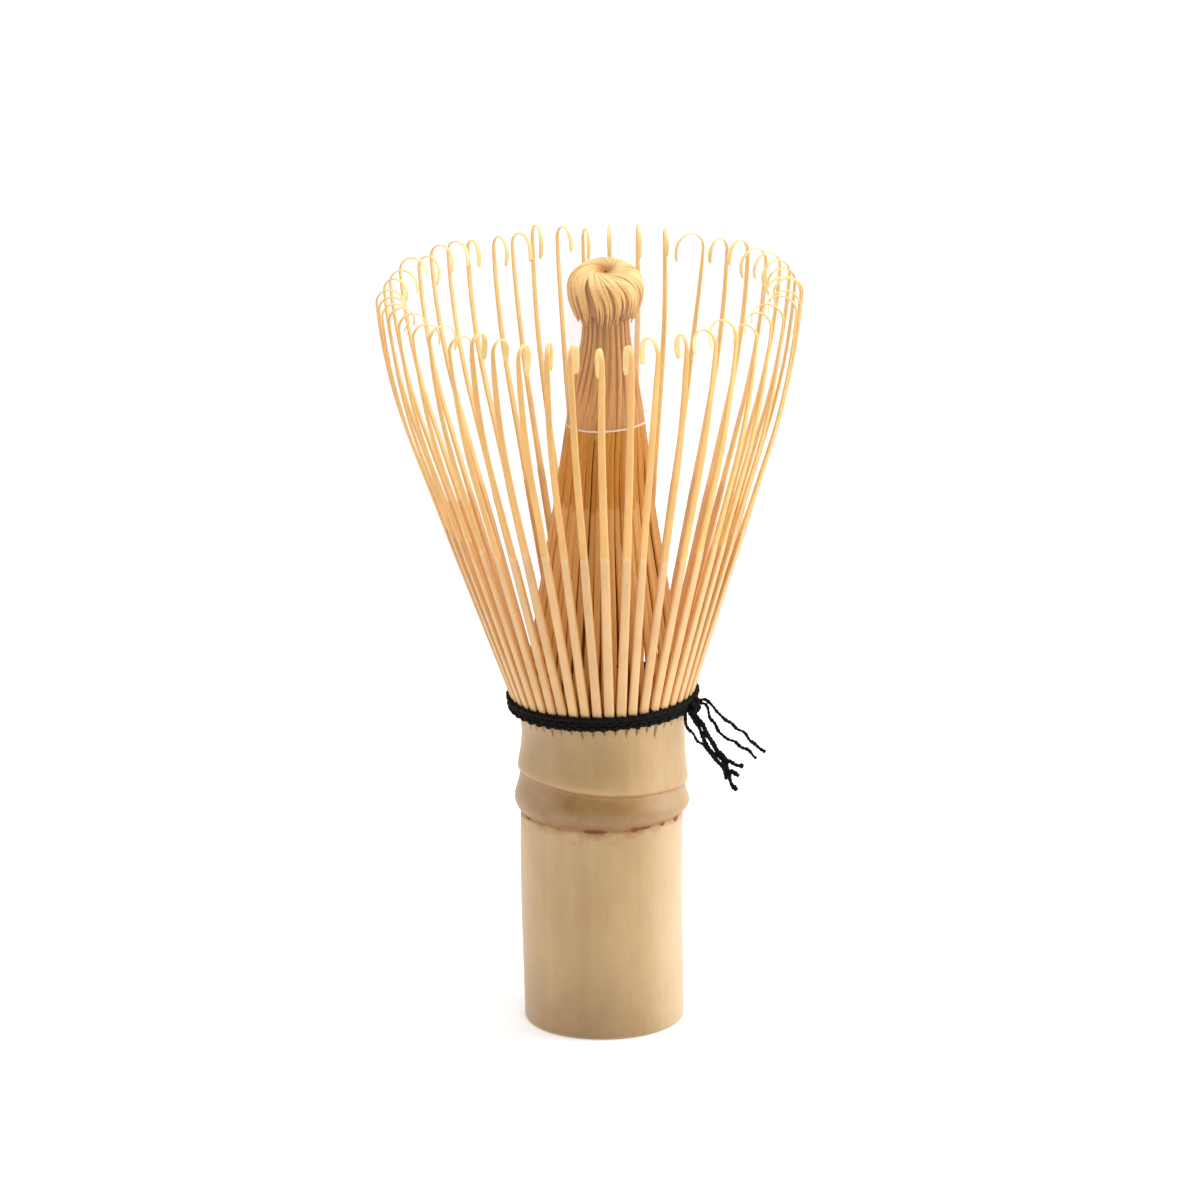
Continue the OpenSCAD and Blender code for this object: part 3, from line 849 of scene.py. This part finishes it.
def turn_path(offset, series):
    """One turn of the binding, offset from its middle height, dipping
    between the tines."""
    a = np.arange(0, 360, 0.7)
    ripple = np.cos(np.radians((a - azimuth(1)) * TINES))
    drift = 0.05 * np.sin(np.radians(5 * a + 90 * series))
    z = bind_height(a) + offset + 0.05 * ripple * (1 if series % 2 else -1) + drift
    return polar(grip_radius(z) + THREAD_R - 0.08 + 0.05 * ripple, a, z)


def stitch_path(k, up):
    """A thread dips between two tines, over the top turn or under the last."""
    a = azimuth(k) + PITCH / 2 + 0.5 * spread(k, 31 + up)
    z = bind_height(a)
    reach = grip_radius(z)
    lift = 1.05 + 0.16 * spread(k, 33) if up else -0.86 + 0.08 * spread(k, 35)
    outline = [(reach - 0.9, lift * 1.05), (reach - 0.1, lift * 1.12), (reach + 0.45, lift * 0.8),
               (reach + 0.55, lift * 0.3)]
    return resample([polar(r, a, z + dz) for r, dz in outline], 0.12)


def weave_shape():
    """A stitch between each pair of tines, over the turns and under them,
    and the round that is hidden between the outer and the inner tines."""
    shape = Shape()
    for k in range(1, TINES + 1):
        tangential = polar(1, azimuth(k) + PITCH / 2 + 90, 0)
        for up in (0, 1):
            rings, lobe = cord(stitch_path(k, up), STITCH_R, sides=8, across=tangential)
            shape.tube(rings, crown=lobe)
    a = np.arange(0, 360, 1.0)
    round_path = polar(WEAVE_R, a, PIVOT_Z + 0.15)
    rings, lobe = cord(round_path, WEAVE_THREAD_R, loop=True, sides=8)
    shape.tube(rings, loop=True, crown=lobe)
    return shape


def turn_shape(i):
    shape = Shape()
    rings, lobe = cord(turn_path(i * TURN_STEP, i + 2), THREAD_R, loop=True)
    shape.tube(rings, loop=True, crown=lobe)
    return shape


def thread_pieces():
    """All the thread pieces in one material, each in place of its node."""
    material = thread_material()

    def finish(shape, name, node):
        obj = shape.build(name, material)
        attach(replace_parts(obj, node), "whisk_body")

    for i in (-1, 0, 1):
        finish(turn_shape(i), f"binding_turn_{i + 2}", f"thread_loop_{i + 2}")
    finish(weave_shape(), "binding_weave", "thread_weave")
    finish(knot_shape(), "binding_knot", "thread_knot")
    finish(tails_shape(), "thread_ends", "thread_tails")


def knot_shape():
    """A small hard knot: a trefoil pulled tight, with a wrap round it."""
    shape = Shape()
    z = bind_height(KNOT_AZIMUTH) - 0.1
    centre = polar(grip_radius(z) + 1.15, KNOT_AZIMUTH, z)
    out, along = polar(1, KNOT_AZIMUTH, 0), polar(1, KNOT_AZIMUTH + 90, 0)
    up = np.array([0, 0, 1.0])
    t = np.linspace(0, TAU, 60, endpoint=False)
    trefoil = ((np.sin(t) + 2 * np.sin(2 * t))[:, None] * along * 0.3
               + (np.cos(t) - 2 * np.cos(2 * t))[:, None] * up * 0.34
               - np.sin(3 * t)[:, None] * out * 0.34)
    rings, lobe = cord(centre + trefoil, 0.36, loop=True, sides=10, across=out)
    shape.tube(rings, loop=True, crown=lobe)
    for dz in (-0.45, 0.4):
        wrap = (np.cos(t)[:, None] * out * 0.62 + np.sin(t)[:, None] * along * 0.8
                + (dz + 0.15 * np.sin(2 * t))[:, None] * up)
        rings, lobe = cord(centre + wrap, 0.34, loop=True, sides=10)
        shape.tube(rings, loop=True, crown=lobe)
    return shape


# The loose ends: (x, z) from the knot outwards, how far in front of the knot
# each one ends, and its radius.
TAILS = (
    ([(14.0, 47.1), (15.2, 45.9), (16.9, 44.1), (18.9, 42.6), (20.6, 40.8), (22.2, 39.4)],
     0.4, 0.26),
    ([(13.9, 46.5), (14.9, 44.3), (16.6, 41.9), (18.6, 40.8), (21.1, 38.9)],
     -0.5, 0.26),
    ([(12.4, 45.6), (13.4, 43.9), (14.6, 41.6), (15.9, 39.6), (17.3, 38.2), (19.2, 37.6)],
     -0.1, 0.35),
    ([(12.1, 45.4), (13.1, 43.4), (14.0, 41.1), (15.5, 38.8), (17.1, 37.1), (18.7, 36.4)],
     -0.6, 0.35),
    ([(12.6, 45.3), (13.7, 43.4), (14.9, 41.0), (16.1, 38.9), (17.1, 36.9), (17.6, 34.8),
      (18.4, 33.9)], 0.2, 0.37),
    ([(11.4, 45.0), (11.5, 43.6), (12.6, 41.8), (13.9, 40.5), (15.4, 38.7), (16.5, 37.2),
      (17.1, 35.9)], -0.9, 0.25),
)
TAIL_STEP = 0.14


def tails_shape():
    shape = Shape()
    start = polar(grip_radius(PIVOT_Z) + 1.2, KNOT_AZIMUTH, PIVOT_Z)
    for i, (outline, forward, radius) in enumerate(TAILS):
        last = len(outline) - 1
        points = [start] + [(x, start[1] + forward * n / last - 0.06 * (x - 13), z)
                            for n, (x, z) in enumerate(outline)]
        path = resample(points, TAIL_STEP)
        s = np.arange(len(path)) * TAIL_STEP
        kink = 0.09 * smoothstep(s, 1, 4)
        path[:, 1] += kink * np.sin(s * 2.4 + i * 2)
        path[:, 2] += kink * np.sin(s * 3.1 + i)
        path[:, 0] += kink * np.cos(s * 2.1 + i * 3)
        size = radius * (1 + 0.14 * np.sin(s * 3.7 + i) + 0.12 * np.sin(s * 1.3 + 2 * i))
        size[-4:] *= (1.1, 1.2, 1.1, 0.8)
        rings, lobe = cord(path, size, lay=1.2, sides=10, across=(0, 1, 0))
        shape.tube(rings, crown=lobe)
    return shape


# ------------------------------------------------------------------- sleeve
# The film's radius falls by the taper up to its top edge, and grows by the
# lap's rise in each turn of the roll.
SEAM_AZIMUTH = 80
SEAM_OVERLAP = 36
LAP_RISE = 0.22
FILM_R = 5.58
FILM_TAPER = 0.3
FILM_HALF_T = 0.05


def film_rings():
    """Rings up the film: round its outside, then back round its inside."""
    a = np.linspace(0, 360 + SEAM_OVERLAP, 150)
    flutter = 0.05 * np.sin(np.radians(3 * a)) + 0.03 * np.sin(np.radians(7 * a + 20))
    rings = []
    for t in np.concatenate([[0, 0.012], np.linspace(0.04, 0.96, 26), [0.988, 1]]):
        r = FILM_R - FILM_TAPER * t + LAP_RISE * a / 360 + flutter * (0.4 + 0.6 * t)
        wave = 0.12 * np.sin(np.radians(a + 70)) * (t == 1)
        dip = (0.35 + 0.35 * np.cos(np.radians(SEAM_AZIMUTH + a))) * (1 - t)
        z = SLEEVE_Z + (SLEEVE_TOP - SLEEVE_Z) * t + wave + dip
        outer = polar(r + FILM_HALF_T, SEAM_AZIMUTH + a, z)
        inner = polar(r - FILM_HALF_T, SEAM_AZIMUTH + a, z)
        rings.append(np.concatenate([outer, inner[::-1]]) + np.array([BUNDLE_X + 0.1, 0, 0]))
    return np.array(rings)


def sleeve():
    """Film rolled into a tube, lapped over itself at the seam. Its lowest
    row of faces is the cut edge."""
    rings = film_rings()
    rows, around = rings.shape[:2]
    shape = Shape()
    shape.tube(rings, caps=False)
    for base, flip in ((0, True), ((rows - 1) * around, False)):
        for i in range(around // 2 - 1):
            quad = [base + i, base + i + 1, base + around - 2 - i, base + around - 1 - i]
            shape.faces.append(quad[::-1] if flip else quad)
    obj = shape.build("film_sleeve", film_material())
    obj.data.materials.append(film_edge_material())
    for face in obj.data.polygons:
        face.material_index = int(face.index < around)
    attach(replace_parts(obj, "sleeve"), "sleeve")


# ------------------------------------------------------------ studio, camera
# The camera stands in front of AIM, both in millimetres, and looks down on it.
CAMERA_AWAY = 1800
CAMERA_ELEVATION = 18.225
CAMERA_ROLL = -0.507
CAMERA_LENS = 417.4
AIM = (-0.12, 0, 59.85)


def camera():
    data = bpy.data.cameras.new("camera")
    data.lens = CAMERA_LENS
    data.sensor_width = 36
    data.clip_start, data.clip_end = 0.05, 60
    obj = bpy.data.objects.new("camera", data)
    bpy.context.scene.collection.objects.link(obj)
    aim = Vector(AIM) * MM
    rise = CAMERA_AWAY * MM * math.tan(math.radians(CAMERA_ELEVATION))
    obj.location = aim + Vector((0, -CAMERA_AWAY * MM, rise))
    look = (aim - obj.location).to_track_quat("-Z", "Y").to_matrix().to_4x4()
    obj.matrix_world = (Matrix.Translation(obj.location) @ look
                        @ Matrix.Rotation(math.radians(CAMERA_ROLL), 4, "Z"))
    bpy.context.scene.camera = obj


def area_light(name, place, size, watts):
    data = bpy.data.lights.new(name, "AREA")
    data.shape, data.size, data.energy = "DISK", size, watts
    obj = bpy.data.objects.new(name, data)
    bpy.context.scene.collection.objects.link(obj)
    obj.location = place
    aim = Vector((0, 0, 0.07)) - obj.location
    obj.rotation_euler = aim.to_track_quat("-Z", "Y").to_euler()
    obj.visible_camera = False


def backdrop():
    """A white sweep: bright behind the whisk and at the horizon, dim in front.
    Each ramp is an axis with its two ends, and the strengths at those."""
    world = bpy.data.worlds.new("studio")
    world.use_nodes = True
    nodes, links = world.node_tree.nodes, world.node_tree.links
    axes = nodes.new("ShaderNodeSeparateXYZ")
    links.new(nodes.new("ShaderNodeTexCoord").outputs["Generated"], axes.inputs[0])
    brightest = nodes.new("ShaderNodeMath")
    brightest.operation = "MAXIMUM"
    ramps = {"Y": (-0.15, 0.55, 0.04, 0.85), "Z": (0.0, 0.03, 1.1, 0.0)}
    for i, (axis, ends) in enumerate(ramps.items()):
        ramp = nodes.new("ShaderNodeMapRange")
        for socket, value in zip(ramp.inputs[1:5], ends):
            socket.default_value = value
        links.new(axes.outputs[axis], ramp.inputs["Value"])
        links.new(ramp.outputs["Result"], brightest.inputs[i])
    links.new(brightest.outputs[0], nodes["Background"].inputs["Strength"])
    nodes["Background"].inputs["Color"].default_value = (1, 1, 1, 1)
    return world


FLOOR_METRES = 12
FLOOR_SIDES = 64


def studio():
    a = TAU * np.arange(FLOOR_SIDES) / FLOOR_SIDES
    mesh = bpy.data.meshes.new("floor")
    mesh.from_pydata([(FLOOR_METRES * math.cos(t), FLOOR_METRES * math.sin(t), 0) for t in a],
                     [], [list(range(FLOOR_SIDES))])
    mesh.materials.append(floor_material())
    floor = bpy.data.objects.new("floor", mesh)
    bpy.context.scene.collection.objects.link(floor)
    area_light("key_right", (1.0, 0.0, 0.35), 0.9, 9.8)
    area_light("crown_front", (0.06, -0.2, 0.3), 0.16, 0.24)
    area_light("fill_left", (-1.1, -0.1, 0.3), 0.6, 2.4)
    area_light("top", (0.0, 0.0, 1.6), 1.6, 18)
    bpy.context.scene.world = backdrop()
    view = bpy.context.scene.view_settings
    view.view_transform, view.look = "Standard", "None"


camera()
studio()
handle()
outer_tines()
inner_bundle()
thread_pieces()
sleeve()
